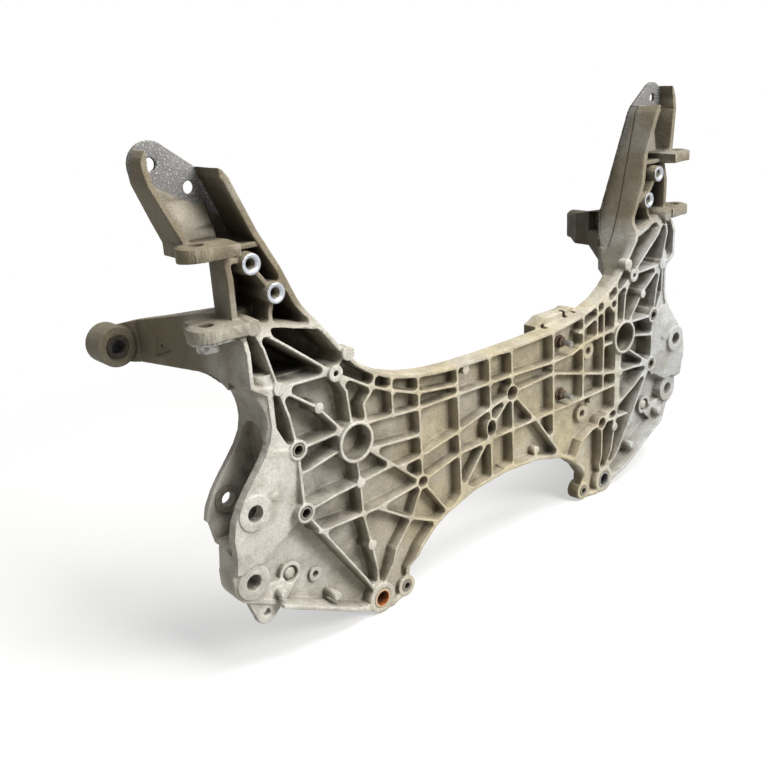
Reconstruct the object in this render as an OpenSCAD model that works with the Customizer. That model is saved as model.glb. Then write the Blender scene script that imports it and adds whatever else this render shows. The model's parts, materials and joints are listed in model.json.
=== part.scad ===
// Front axle subframe: one ribbed light-alloy casting with pressed steel inserts, studs and nuts.
// Frame: X across the car, Z up along the plate towards the horns, Y through the plate.
// All sizes are millimetres. The plate is drawn from its rib face (Y = 0) and then placed.

/* [Plate] */
// wall of the web behind the ribs
web_t = 4.5; // [3.5:0.5:6]
// width of a rib at its free edge
rib_t = 3.5; // [3:0.25:5.5]
// width of the rim round the outline
rim_t = 5; // [4:0.25:7]
// corner radius inside the pockets
pocket_r = 3.5; // [2:0.5:5]
// depth of the plate along the middle
centre_depth = 17.5; // [16:0.5:22]
// depth of the plate in the wings
wing_depth = 25; // [23:0.5:30]
// depth of the plate in the horns
horn_depth = 62; // [56:1:68]

/* [Body mount towers] */
// half distance between the tower bores
tower_x = 339; // [332:1:346]
// height of the tower bores over the front datum
tower_z = 8; // [0:1:16]
// reach of the towers behind the rib face
tower_depth = 180; // [165:1:195]
// outer diameter of the tower eye
tower_eye_d = 37; // [33:1:42]
// length of the tower eye
tower_eye_len = 27; // [20:1:34]
// outer diameter of the steel tower sleeve
tower_sleeve_od = 21; // [18:0.5:25]
// clear bore of the tower sleeve
tower_bore = 13; // [10.5:0.5:15]

/* [Rear mounts] */
// half distance between the rear bores
rear_x = 177.8; // [172:0.2:184]
// height of the rear bores under the front datum
rear_z = -259.4; // [-264:0.2:-255]
// outer diameter of the rear boss
rear_boss_d = 32; // [28:1:37]
// depth of the rear boss
rear_boss_len = 34; // [27:1:40]
// outer diameter of the rear sleeve
rear_sleeve_od = 20; // [18:0.5:24]
// clear bore of the rear sleeve
rear_bore = 14.5; // [12.5:0.5:16]

/* [Control arm clevis] */
// half distance between the front pivot holes
clevis_x = 325; // [321:1:330]
// distance of the pivot axis behind the rib face
clevis_y = 18; // [15:1:22]
// height of the gap floor over the front datum
clevis_z = 47.5; // [44:0.5:50]
// clear gap between the two lugs
clevis_gap = 52; // [46:1:56]
// thickness of each lug
lug_t = 11; // [8:0.5:14]
// radius of the lug end
lug_r = 16; // [13:0.5:18]
// diameter of the pivot hole
pivot_d = 12.5; // [10.5:0.5:14.5]

/* [Rear pivot console] */
// half distance between the console bolt bores
console_x = 312; // [307:1:316]
// height of the console bolt bores
console_z = -114; // [-118:1:-110]
// bolt bore through the console
console_bore = 14.5; // [12.5:0.5:16]
// outer diameter of the flanged pivot insert
pivot_insert_od = 20; // [17:0.5:22]
// thread bore of the pivot insert
pivot_insert_bore = 12.5; // [10:0.5:14]
// thickness of the front plate of the console
console_front_t = 9; // [7:0.5:12]
// thickness of the back plate of the console
console_back_t = 6.5; // [5:0.5:8]
// total depth of the console
console_depth = 49; // [45:1:54]
// radius of the bush space
bush_space_r = 33; // [29:1:35]

/* [Lower pads] */
// half distance between the lower pad bores
pad_x = 315; // [312:1:318]
// height of the lower pad bores
pad_z = -182.6; // [-185:0.2:-180]
// outer diameter of the lower pad boss
pad_d = 33; // [29:1:36]
// bore of the lower pad
pad_bore = 14.5; // [12.5:0.5:16]
// half distance between the plug seats
plug_x = 273.6; // [270:0.2:277]
// height of the plug seats
plug_z = -194.3; // [-197:0.2:-192]
// outer diameter of the plug seat ring
plug_ring_d = 23; // [20:0.5:26]
// diameter of the plug
plug_d = 16; // [13:0.5:17]

/* [Stay bosses] */
// half distance between the front stay bosses
stay_front_x = 262.6; // [258:0.2:266]
// height of the front stay bosses
stay_front_z = -73.1; // [-76:0.2:-70]
// half distance between the rear stay bosses
stay_rear_x = 261; // [257:0.2:265]
// height of the rear stay bosses
stay_rear_z = -133.4; // [-137:0.2:-130]
// outer diameter of a stay boss
stay_d = 19.5; // [17:0.5:22]
// outer diameter of a thread insert
insert_od = 12; // [10.5:0.5:14]
// thread bore of an insert
insert_bore = 8.5; // [6.5:0.5:9.5]
// length of a thread insert
insert_len = 16; // [12:1:18]

/* [Horns] */
// half distance between the outer flange holes
horn_x = 332.7; // [329:0.2:335]
// height of the outer flange holes
horn_z = 170.1; // [166:0.2:174]
// half distance between the inner flange holes
horn_in_x = 302; // [301:0.2:306]
// height of the inner flange holes
horn_in_z = 149; // [145:0.5:153]
// flange hole diameter
horn_hole_d = 10.5; // [8.5:0.5:12]
// radius of the flange corner
horn_r = 18; // [16:0.5:19]
// outer diameter of the threaded horn bosses
horn_boss_d = 18; // [16:0.5:20]
// thread bore of the horn bosses
horn_boss_bore = 8.5; // [6.5:0.5:10]

/* [Tubes and lugs] */
// half distance between the access tubes
tube_x = 201.5; // [199:0.5:204]
// height of the access tubes
tube_z = -84.9; // [-87:0.2:-83]
// outer diameter of an access tube
tube_d = 39; // [36:0.5:42]
// wall of an access tube
tube_wall = 3; // [2:0.25:4]
// half distance between the rear lug holes
lug_in_x = 142.6; // [140:0.2:146]
// height of the rear lug holes
lug_in_z = -263.1; // [-265:0.2:-260]
// outer diameter of the rear lugs
lug_in_d = 22; // [19:0.5:24]
// half distance between the side tab holes
tab_x = 303.2; // [299:0.2:307]
// height of the side tab holes
tab_z = -219.1; // [-223:0.2:-216]
// side tab hole diameter
tab_hole_d = 7; // [5:0.5:9]
// outer diameter of a lug insert
lug_insert_od = 12; // [10:0.5:14]
// thread bore of a lug insert
lug_insert_bore = 6.8; // [5:0.2:8.5]

/* [Studs] */
// thread diameter of the shield studs
stud_d = 6; // [5:0.5:8]
// width across flats of the stud nuts
stud_nut_af = 10; // [9:0.5:13]
// height of the stud nuts
stud_nut_h = 5; // [4:0.5:7]
// diameter of the washer under a stud nut
washer_d = 15; // [12:0.5:18]

/* [Clip nut] */
// sheet thickness of the clip nut
clip_t = 2; // [1:0.25:3]
// thread bore of the clip nut
clip_bore = 10.5; // [8.5:0.5:12]
// collar diameter of the clip nut
clip_collar_d = 19; // [17:0.5:22]
// collar height of the clip nut
clip_collar_h = 7; // [5:0.5:10]

/* [Hidden] */
$fn = 40;
fillet_fn = 16;
// radial clearance of pressed pieces
fit = 0.05;
// how far bosses and studs stand out of the rib face
front_proud = 5;
// sketch discs stay this much inside the true round bosses
skin = 0.6;
reach = 420;
washer_t = 1.5;

// faces and floors through the plate
centre_floor = centre_depth - web_t;
wing_floor = wing_depth - web_t;
horn_face = horn_depth - web_t;
rear_face = 4;
lug_face = 8;
lug_len = 15;
pad_face = 9;
plug_face = 15;
tab_face = 13;
tab_t = 6;
stay_face = -1;
slot_end = console_depth - console_back_t;

// cuts start this far before the rib face and end this far behind it
cut_front = 20;
cut_back = 80;
// blind depths of the horn boss threads and of the front eye
horn_boss_hole = 36;
front_eye_hole = 12;
// the pivot hole overshoots the lugs by this much
pivot_over = 20;
// the plate keeps this much clear round a low boss face, and rises from there over this run
face_relief = 1;
face_run = 26;
// bush slot: its round top lies this far over the console bore
slot_top = 69;
// fall of the console plate: its crease, and the metal that it leaves in front of the slot after this run
fall_start = [276, -81];
fall_turn = 46;
fall_run = 36;
fall_skin = 2.5;
// face of the flat panel over the console
panel_face = 2;
// depth of the wall that runs from the console down to the lower pad
console_foot = 34;
// sunk triangle on the outer face of a tower arm
recess_t = 1.5;
recess_hole_r = 1.6;

// horn root: depth behind the clevis and height of its lower wall
clevis_back = 40;
root_z = -16;

// part frame: X mid plane, Y middle of the depth, Z lowest point
datum_y = -(tower_depth - front_proud) / 2;
datum_z = rear_boss_d / 2 - rear_z;

tower = [tower_x, tower_z];
rear = [rear_x, rear_z];
stay_front = [stay_front_x, stay_front_z];
stay_rear = [stay_rear_x, stay_rear_z];
console = [console_x, console_z];
pad = [pad_x, pad_z];
plug = [plug_x, plug_z];
horn = [horn_x, horn_z];
horn_in = [horn_in_x, horn_in_z];
tube = [tube_x, tube_z];
rear_lug = [lug_in_x, lug_in_z];
tab = [tab_x, tab_z];
clevis_top = clevis_z + clevis_gap;

// rib knots, right half
corner_nub = [276, -14];
lug_nub = [291, 41];
rod_nub = [238, -42];
front_eye = [218, -16];
front_nub = [204, -1];
wing_nub = [198, -127];
fan_nub = [190, -194];
drain = [244.8, -208.3];
boss_hi = [281.7, 89.3];
boss_lo = [261.9, 62];

// rib knots of the middle, which is not symmetric
left_ring = [-121, -154];
mid_ring = [10.5, -100];
right_ring = [166, -182];
slot_ring = [-22, -129];
stud_hi = [101.5, -68.5];
stud_lo = [102.5, -130];

alloy = [0.66, 0.64, 0.58];
steel = [0.62, 0.62, 0.62];
rust = [0.72, 0.36, 0.14];
dark_steel = [0.25, 0.25, 0.26];

function bezier(a, b, c, d, t) =
    pow(1 - t, 3) * a + 3 * t * pow(1 - t, 2) * b + 3 * t * t * (1 - t) * c + pow(t, 3) * d;

// outline of the right half, clockwise from the middle of the front edge
front_edge = [for (i = [0:10]) bezier([0, -49], [90, -49], [165, -48], [204, 1], i / 10)];
horn_edge = [
    [224, 26], [240, 54], [288, 157], [293, 163],
    horn + [-9, horn_r - 2.5], horn + [horn_r, 0]
];
outer_edge = [[349, 157], [337, 127], [328, 106], [303, 104], [303, -8], [288, -18]];
console_edge = concat(
    [for (i = [0:8]) bezier([287, -45], [288, -80], [346, -100], [333, -150], i / 8)],
    [[334, -170], [333.5, -186], [326, -199]]
);
rear_edge = [
    rear + [13, -9], rear + [-6, -15],
    rear_lug + [2, -lug_in_d / 2], rear_lug + [-lug_in_d / 2, 2], rear_lug + [-5, 10]
];
arch_edge = [[139, -242], [125, -224], [106, -209], [90, -201], [50, -190], [0, -186]];

// ribs of both wings
wing_ribs = [
    [lug_nub, corner_nub, [268, -42], stay_front, stay_rear, rear],
    [lug_nub, front_eye],
    [lug_nub, [260, 35], [234, 28]],
    [[303, -9], corner_nub, front_eye],
    [corner_nub, rod_nub, tube],
    [front_eye, front_nub],
    [front_eye, [206, -36], tube],
    [front_eye, [180, -39], [155, -50], [122, -62]],
    [[176, -42], [188, -54], [186, -70]],
    [[170, -22], [176, -40]],
    [[154, -30], [154, -76]],
    [[293, -66], stay_front, [tube_x, -71], [121, -78]],
    [[261.5, -97], tube],
    [stay_rear, [228, -129], wing_nub],
    [tube, wing_nub, [197, -160]],
    [rear, fan_nub, [197, -160]],
    [boss_hi, boss_lo, [268, 42]],
    [boss_hi, [306, 98]]
];

// ribs of the left side only, drawn mirrored
left_ribs = [
    [[248, -158], [180, -160], [140, -186], [96, -207]],
    [[180, -160], [121, -154], [69, -142], [23, -141]],
    [[121, -154], [138, -187], [160, -212], rear],
    [tube, [121, -154], [85, -203]],
    [[180, -99], [121, -105]],
    [wing_nub, [160, -124]],
    [[150, -128], [121, -127], [70, -118], [23, -107], [-10.5, -100]],
    [[122, -62], [70, -69]],
    [[121, -46], [121, -154]]
];

// ribs of the right side only
right_ribs = [
    [[190, -12], [190, -172]],
    [[166, -28], [166, -141]],
    [[129, -40], [129, -141]],
    [[166, -88], [190, -88]],
    [[213, -103], stay_rear],
    [wing_nub, [166, -121], [129, -111], [77, -97], mid_ring],
    [stay_rear, [230, -152], [200, -166], [178, -174], right_ring],
    [[215, -184], right_ring, [148, -184], [128, -193], [116, -214]],
    [right_ring, [166, -236], rear],
    [[-23, -141], [190, -141]]
];

// ribs across the middle
middle_ribs = [
    [[-121, -78], [-70, -79], [-23, -80], [10.5, -81], [77, -84], [110, -83], [145, -74], [190, -74]],
    [[-69, -50], [-69, -194]],
    [[-23, -50], [-23, -190]],
    [[10.5, -50], [10.5, -190]],
    [[77, -50], [77, -168]],
    [mid_ring, slot_ring, [-30, -143], [-64, -180]],
    [mid_ring, [48, -141], [96, -203]],
    [[-80, -197], [-62, -180], [-44, -190]]
];

// [place, radius, face] of the small cast bosses of both wings
wing_bosses = [
    [corner_nub, 6, -2],
    [lug_nub, 7.5, 3],
    [rod_nub, 5, -2],
    [front_eye, 7.5, -3],
    [wing_nub, 5.5, -1],
    [fan_nub, 5.5, -1],
    [stay_front, stay_d / 2, stay_face],
    [stay_rear, stay_d / 2, stay_face],
    [boss_hi, horn_boss_d / 2, 11],
    [boss_lo, horn_boss_d / 2, 10],
    [tube, tube_d / 2, -4]
];

// [place, radius, hole radius, face] of the low bosses on the middle floor
floor_bosses = [
    [[147, -90], 10, 4, 7],
    [[137, -163], 10, 4, 7],
    [[153, -151], 4, 0, 6],
    [[53, -180], 5, 0, 4],
    [[-56, -57], 5, 0, 1]
];

// mirrored pair
module both() {
    children();
    mirror([1, 0, 0]) children();
}

// one hand of a mirrored piece
module hand(side) {
    if (side == "left") mirror([1, 0, 0]) children();
    else children();
}

// sends children from the drawing datum to the part frame
module place() {
    translate([0, datum_y, datum_z]) children();
}

// extrudes a plate sketch (x, z) from depth y0 to depth y1
module between(y0, y1) {
    translate([0, y1, 0])
        rotate([90, 0, 0])
            linear_extrude(y1 - y0)
                children();
}

// extrudes a side sketch (y, z) across the plate from x0 to x1
module across(x0, x1) {
    translate([x0, 0, 0])
        rotate([90, 0, 90])
            linear_extrude(x1 - x0)
                children();
}

// extrudes a plan sketch (x, y) from height z0 to height z1
module upright(z0, z1) {
    translate([0, 0, z0])
        linear_extrude(z1 - z0)
            children();
}

// round bar through the plate at point p
module rod(p, r, y0, y1) {
    translate([p.x, y0, p.y])
        rotate([-90, 0, 0])
            cylinder(r = r, h = y1 - y0);
}

module bar(p, q, w) {
    d = q - p;
    translate(p)
        rotate(atan2(d.y, d.x))
            translate([0, -w / 2])
                square([norm(d), w]);
}

// ribs drawn as chains of bars with round joints
module chains(list, w) {
    for (points = list) {
        for (i = [0:len(points) - 2]) bar(points[i], points[i + 1], w);
        for (p = points) translate(p) circle(d = w, $fn = 12);
    }
}

module disc(p, r) {
    translate(p) circle(r = r, $fn = 32);
}

module half_outline() {
    offset(r = 3, $fn = fillet_fn)
        offset(delta = -3)
            union() {
                polygon(concat(front_edge, horn_edge, outer_edge, console_edge, rear_edge, arch_edge));
                disc(horn, horn_r);
                disc(rear, rear_boss_d / 2 - 1);
                disc(rear_lug, lug_in_d / 2 - 1);
                disc(pad, pad_d / 2 + 2);
            }
}

module outline() {
    both() {
        half_outline();
        translate([-1, -184]) square([12, 134]);
    }
}

// front plate of the rear pivot console, from the panel down to the lower pad
module console_sketch() {
    polygon([
        [262, -73], [295, -66], [322, -94], [337, -120], [337, -164], [322, -168], [303, -166], [262, -143]
    ]);
}

module rib_sketch() {
    both() {
        chains(wing_ribs, rib_t);
        for (b = wing_bosses) disc(b[0], b[1] - skin);
        disc(rear, rear_boss_d / 2 - skin);
        disc(rear_lug, lug_in_d / 2 - skin);
        disc(pad, pad_d / 2 - skin);
        console_sketch();
    }
    mirror([1, 0]) chains(left_ribs, rib_t);
    chains(right_ribs, rib_t);
    chains(middle_ribs, rib_t);
    disc(left_ring, 8);
    disc(mid_ring, 9.5);
    disc(right_ring, 9);
    translate(slot_ring) scale([0.72, 1]) circle(r = 11.5, $fn = 32);
}

// everything between the ribs, with rounded corners
module pocket_sketch() {
    offset(r = pocket_r, $fn = fillet_fn)
        offset(delta = -pocket_r)
            difference() {
                offset(delta = -rim_t) outline();
                rib_sketch();
            }
}

// plan of the horn root: its back falls away behind the control arm bush
module root_plan(cut) {
    polygon([
        [178, -60], [reach, -60], [reach, clevis_back - cut], [303, clevis_back - cut],
        [268, horn_depth - cut], [238 + cut / 2, horn_depth - cut], [221 + cut / 2, 50 - cut],
        [199 + cut / 2, 28 - cut], [188 + cut / 2, centre_depth - cut], [178, centre_depth - cut]
    ]);
}

// space in front of the back face of the web, moved forward by cut
module depth_region(cut) {
    upright(-320, 300)
        polygon([
            [-reach, -60], [reach, -60], [reach, wing_depth - cut], [235, wing_depth - cut],
            [160, centre_depth - cut], [-160, centre_depth - cut], [-235, wing_depth - cut],
            [-reach, wing_depth - cut]
        ]);
    both() {
        upright(root_z + cut, clevis_top + 1) root_plan(cut);
        upright(clevis_top + cut, 240)
            translate([200, -60]) square([reach - 200, 60 + horn_depth - cut]);
    }
}

// the horns lean back from the rib face
module horn_relief() {
    across(-reach, reach)
        polygon([
            [-60, 22], [0, 22], [3, 31], [12, 40], [14.5, 46], [14, 80], [21, 112], [21, 240], [-60, 240]
        ]);
}

// the flange of the horn is open towards the front and the top
module horn_mouth() {
    between(-30, horn_face)
        polygon([[295, 112], [295, 230], [345, 230], [345, 170], [343, 158], [331, 128], [322, 112]]);
    across(310, 370)
        polygon([[-30, 112], [26, 112], [38, 175], [38, 232], [-30, 232]]);
}

module ribbed_plate() {
    difference() {
        intersection() {
            between(0, 80) outline();
            depth_region(0);
        }
        intersection() {
            between(-1, 80) pocket_sketch();
            depth_region(web_t);
        }
        horn_relief();
        both() horn_mouth();
    }
}

// fan of cast metal between the flange face and the upper lug
module horn_slope() {
    intersection() {
        across(290, 345)
            polygon([
                [horn_face + 1, 140], [horn_face, 140],
                [44, clevis_top + 8], [horn_face + 1, clevis_top + 8]
            ]);
        between(0, 80) offset(delta = -2) half_outline();
    }
}

// block of the console: its back plate is shorter than its front plate
module half_console() {
    between(panel_face, 24)
        intersection() {
            offset(delta = -1) half_outline();
            polygon([[286, -37], [380, -37], [380, -154], [276, -154], [266, -72], [273, -62], [279, -50]]);
        }
    between(22, console_depth)
        intersection() {
            half_outline();
            polygon([[272, -46], [380, -46], [380, -112], [331, -130], [326, -154], [272, -154]]);
        }
    between(22, console_foot)
        intersection() {
            half_outline();
            polygon([[306, -140], [330, -140], [333, -170], [340, -174], [340, -205], [316, -205]]);
        }
}

// the console plate falls from a crease beside its outer edge to the web
module console_fall() {
    intersection() {
        translate([fall_start.x, 0, fall_start.y])
            rotate([0, fall_turn, 0])
                across(-120, 120)
                    polygon([
                        [-cut_front, 0], [0, 0], 2 * [console_front_t - fall_skin, -fall_run],
                        [-cut_front, -2 * fall_run]
                    ]);
        between(-cut_front, wing_floor)
            difference() {
                polygon([
                    [266, -71], [290, -68.5], [360, -140], [360, -170], [303, -170], [259, -146], [259, -76]
                ]);
                chains(wing_ribs, rib_t + face_relief);
            }
    }
}

// cone that opens to the front from radius r at depth y
module dish(p, r, y) {
    translate([p.x, y, p.y])
        rotate([90, 0, 0])
            cylinder(r1 = r + face_relief, r2 = r + face_relief + face_run, h = y + 1);
}

// the plate stays clear of the low bosses
module half_reliefs() {
    dish(rear, rear_boss_d / 2, rear_face + face_relief);
    dish(rear_lug, lug_in_d / 2, lug_face + face_relief);
    rod(pad, pad_d / 2 + face_relief, -cut_front, pad_face + face_relief);
    between(-cut_front, pad_face + face_relief + 1)
        polygon(concat(
            [for (i = [0:7]) pad + (pad_d / 2 - face_relief) * [cos(60 - 25 * i), sin(60 - 25 * i)]],
            [[296, -199], [291, -230], [360, -230], [360, -160]]
        ));
}

// bush space, open to the side, with a round top
module console_slot() {
    slot_r = (slot_end - console_front_t) / 2;
    intersection() {
        between(console_front_t, slot_end)
            offset(r = 16, $fn = 32)
                offset(delta = -16)
                    polygon([
                        console + [-bush_space_r, -bush_space_r - 2], console + [-bush_space_r, 20],
                        console + [-bush_space_r + 4, slot_top + 20], console + [150, slot_top + 20],
                        console + [150, -bush_space_r - 2]
                    ]);
        across(200, 480) {
            translate([console_front_t + slot_r, console_z + slot_top - slot_r]) circle(r = slot_r);
            translate([console_front_t - 1, console_z - 60]) square([2 * slot_r + 2, slot_top - slot_r + 60]);
        }
    }
}

// control arm lug with a spot-faced ring round the pivot hole
module lug(z0, back) {
    upright(z0, z0 + lug_t)
        polygon(concat(
            [[296, back], [296, 0]],
            [for (i = [0:16]) [clevis_x, clevis_y] + lug_r * [cos(-110 + 11 * i), sin(-110 + 11 * i)]],
            [[clevis_x + 5, back]]
        ));
    translate([clevis_x, clevis_y, z0 + lug_t - 1])
        cylinder(r = lug_r - 2, h = 1.8);
}

// plan of the tower end: the inner back corner runs out into the arm
module tower_end_plan() {
    polygon([
        [tower_x - 31, tower_depth - 60], [tower_x - 31, tower_depth - 30], [tower_x - 11, tower_depth],
        [tower_x + 40, tower_depth], [tower_x + 40, tower_depth - 60]
    ]);
}

// tower: plan sketch and side sketch crossed, ending in a round eye
module tower_arm() {
    intersection() {
        upright(-60, 80)
            polygon([
                [284, 34], [303, 34], [tower_x - 20, tower_depth - tower_eye_len],
                [tower_x, tower_depth - 16], [tower_x, tower_depth],
                [tower_x - 11, tower_depth], [tower_x - 31, tower_depth - 30],
                [301, 125], [281, 95], [272, 80], [262, 60], [262, 40]
            ]);
        across(260, 380)
            polygon([
                [28, -20], [28, 46], [41, 50], [tower_depth - 40, tower_z + 23],
                [tower_depth - 20, tower_z + 19], [tower_depth - 9, tower_z + 15],
                [tower_depth - 2, tower_z + 9], [tower_depth, tower_z + 2],
                [tower_depth, tower_z - 4], [tower_depth - 5, tower_z - 12],
                [tower_depth - 26, tower_z - 19], [59, -5], [46, -8], [40, -12]
            ]);
    }
    intersection() {
        rod(tower, tower_eye_d / 2, tower_depth - tower_eye_len, tower_depth);
        upright(-60, 80) tower_end_plan();
    }
}

// sunk triangle with a small hole on the outer face of the arm
module tower_recess() {
    middle = [tower_depth - 59, tower_z + 1];
    intersection() {
        upright(-60, 80)
            polygon([
                [303 - recess_t, 34], [tower_x - 20 - recess_t, tower_depth - tower_eye_len],
                [tower_x, tower_depth - tower_eye_len], [tower_x, 34]
            ]);
        across(280, 360)
            polygon([middle + [5, 9], middle + [9, -11], middle + [-16, -2]]);
    }
    translate([308, middle.x, middle.y])
        rotate([0, 90, 0])
            cylinder(r = recess_hole_r, h = 30);
}

// cheek that carries the tower foot down into the console
module tower_cheek() {
    intersection() {
        between(panel_face, console_depth - 2)
            polygon(concat(
                [[280, 0], [303, 0]],
                [for (i = [0:6]) bezier([303, -6], [297, -14], [288, -26], [288.8, -46], i / 6)],
                [[291.5, -58], [280, -58]]
            ));
        upright(-70, 1)
            polygon([[280, 2], [288, 2], [303, 15], [310, 30], [310, 60], [280, 60]]);
    }
}

// gusset under the inner edge of the tower arm
module tower_gusset() {
    intersection() {
        upright(-60, 10)
            polygon([
                [262, 44], [262, 62], [272, 80], [281, 95], [301, 125],
                [306, 125], [286, 95], [277, 80], [268, 62], [286, 53], [286, 44]
            ]);
        across(250, 320)
            polygon([[44, -20], [62, -24], [72, -29], [80, -31], [95, -20], [125, -8], [125, 4], [44, 4]]);
    }
}

module half_bosses() {
    for (b = wing_bosses) rod(b[0], b[1], b[2], 60);
}

module half_free_bosses() {
    rod(front_nub, 6.5, -front_proud + 0.5, 7);
    rod(rear, rear_boss_d / 2, rear_face, rear_face + rear_boss_len);
    rod(rear_lug, lug_in_d / 2, lug_face, lug_face + lug_len);
    rod(pad, pad_d / 2, pad_face, wing_depth + 4);
    rod(plug, plug_ring_d / 2, plug_face, wing_depth - 1);
    rod(drain, 7, wing_floor - 3, wing_depth - 1);
    rod(console, 16, -1.5, console_front_t - 1);
    rod([290, -107], 4, 0.6, 6);
    rod([289, -204], 4.5, 3, wing_depth - 1);
    rod([232, -232], 4.5, 3, wing_depth - 1);
    between(tab_face, tab_face + tab_t) {
        disc(tab, 11);
        polygon([
            tab + [-7, -8], tab + [8, -8], tab + [13, 4], tab + [22, 30], tab + [-36, 22], tab + [-30, 12]
        ]);
    }
}

// saddle behind the front edge with two threaded ears
module saddle() {
    between(centre_depth - 2, 32)
        polygon([[66, -84], [66, -45], [81, -38], [118, -38], [124, -36], [132, -38], [140, -54], [140, -84]]);
}

module middle_holes() {
    rod([77, -47], 3, 10, cut_back);
    rod([127, -44], 3, 10, cut_back);
    between(12, 24) translate([111, -46]) square([5, 20]);
    rod(left_ring, 5.2, -10, centre_floor);
    rod(mid_ring, 7, -10, centre_floor);
    rod(right_ring, 6, -10, centre_floor);
    between(-10, centre_floor) translate(slot_ring) scale([0.72, 1]) circle(r = 8, $fn = 32);
    for (b = floor_bosses) if (b[2] > 0) rod(b[0], b[2], -10, centre_floor);
    for (p = [stud_hi, stud_lo]) rod(p, stud_d / 2 + fit, -10, centre_depth - 1.5);
}

module half_holes() {
    rod(tower, tower_sleeve_od / 2 + fit, tower_depth - cut_back, tower_depth + 1);
    rod(rear, rear_sleeve_od / 2 + fit, -cut_front, cut_back);
    rod(rear_lug, lug_insert_od / 2 + fit, -cut_front, cut_back);
    rod(pad, pad_bore / 2, -cut_front, cut_back);
    rod(tab, tab_hole_d / 2, -cut_front, cut_back);
    rod(drain, 3.5, -cut_front, cut_back);
    rod(plug, plug_d / 2 + fit, 0, wing_floor);
    rod(console, console_bore / 2, -cut_front, slot_end - console_back_t);
    rod(console, pivot_insert_od / 2 + fit, slot_end - console_back_t, cut_back);
    rod(stay_front, insert_od / 2 + fit, -cut_front, stay_face + insert_len);
    rod(stay_rear, insert_od / 2 + fit, -cut_front, stay_face + insert_len);
    rod(tube, tube_d / 2 - tube_wall, -cut_front, centre_floor + tube_wall);
    rod(boss_hi, horn_boss_bore / 2, -cut_front, horn_boss_hole);
    rod(boss_lo, horn_boss_bore / 2, -cut_front, horn_boss_hole);
    rod(horn, horn_hole_d / 2, -cut_front, cut_back);
    rod(horn_in, horn_hole_d / 2, -cut_front, cut_back);
    rod(front_eye, 2.6, -cut_front, front_eye_hole);
    translate([clevis_x, clevis_y, clevis_z - lug_t - pivot_over])
        cylinder(d = pivot_d, h = clevis_gap + 2 * (lug_t + pivot_over));
}

module casting() {
    color(alloy)
        place()
            difference() {
                union() {
                    difference() {
                        union() {
                            ribbed_plate();
                            both() half_console();
                        }
                        both() {
                            console_fall();
                            half_reliefs();
                        }
                    }
                    intersection() {
                        both() half_bosses();
                        depth_region(1);
                    }
                    both() {
                        lug(clevis_z - lug_t, 46);
                        lug(clevis_top, horn_depth - 1);
                        horn_slope();
                        tower_arm();
                        tower_cheek();
                        tower_gusset();
                        half_free_bosses();
                    }
                    for (b = floor_bosses) rod(b[0], b[1], b[3], centre_depth - 1);
                    saddle();
                }
                both() {
                    console_slot();
                    tower_recess();
                    half_holes();
                }
                middle_holes();
            }
}

// plain bush between two depths
module sleeve(side, p, od, id, y0, len) {
    place()
        hand(side)
            difference() {
                rod(p, od / 2, y0, y0 + len);
                rod(p, id / 2, y0 - 1, y0 + len + 1);
            }
}

module tower_sleeve(side) {
    color(steel)
        sleeve(side, tower, tower_sleeve_od, tower_bore, tower_depth - tower_eye_len - 1, tower_eye_len + 1);
}

module rear_sleeve(side) {
    color(side == "left" ? rust : steel)
        sleeve(side, rear, rear_sleeve_od, rear_bore, rear_face, rear_boss_len);
}

module stay_insert(side, p) {
    color(dark_steel)
        sleeve(side, p, insert_od, insert_bore, stay_face, insert_len);
}

module lug_insert(side) {
    color(dark_steel)
        sleeve(side, rear_lug, lug_insert_od, lug_insert_bore, lug_face - 0.5, lug_len + 0.5);
}

// flanged thread insert in the back plate of the console
module pivot_insert(side) {
    color(dark_steel)
        place()
            hand(side)
                difference() {
                    union() {
                        rod(console, pivot_insert_od / 2, slot_end - 2, console_depth);
                        rod(console, pivot_insert_od / 2 + 2.5, slot_end - 2, slot_end);
                    }
                    rod(console, pivot_insert_bore / 2, slot_end - 5, console_depth + 5);
                }
}

// domed core plug
module core_plug(side) {
    color(steel)
        place()
            hand(side)
                translate([plug.x, wing_floor, plug.y])
                    rotate([90, 0, 0])
                        rotate_extrude()
                            polygon(concat(
                                [[0, 0], [plug_d / 2, 0], [plug_d / 2, 2]],
                                [for (i = [0:8]) [0.4 * plug_d * cos(i * 11.25), 2 + 3.5 * sin(i * 11.25)]]
                            ));
}

module stud(p) {
    color(steel)
        place()
            rod(p, stud_d / 2, -front_proud, centre_depth - 1.5);
}

// flange nut that seats on the web
module stud_nut(p) {
    color(rust)
        place()
            difference() {
                union() {
                    rod(p, washer_d / 2, centre_floor - washer_t, centre_floor);
                    translate([p.x, centre_floor - washer_t - stud_nut_h, p.y])
                        rotate([-90, 0, 0])
                            cylinder(d = stud_nut_af / cos(30), h = stud_nut_h + 0.5, $fn = 6);
                }
                rod(p, stud_d / 2 + fit, -cut_front, cut_back);
            }
}

// sheet clip with a collar under the left lower lug
module clip_nut() {
    color(steel)
        place()
            hand("left")
                difference() {
                    union() {
                        upright(clevis_z - lug_t - clip_t, clevis_z - lug_t) {
                            translate([clevis_x, clevis_y]) circle(r = lug_r - 2);
                            translate([clevis_x - 16, clevis_y - lug_r + 2]) square([16, 2 * lug_r - 4]);
                        }
                        translate([clevis_x, clevis_y, clevis_z - lug_t - clip_t - clip_collar_h])
                            cylinder(d = clip_collar_d, h = clip_collar_h + 0.5);
                    }
                    translate([clevis_x, clevis_y, clevis_z - lug_t - clip_t - clip_collar_h - 1])
                        cylinder(d = clip_bore, h = clip_t + clip_collar_h + 2);
                }
}

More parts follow.
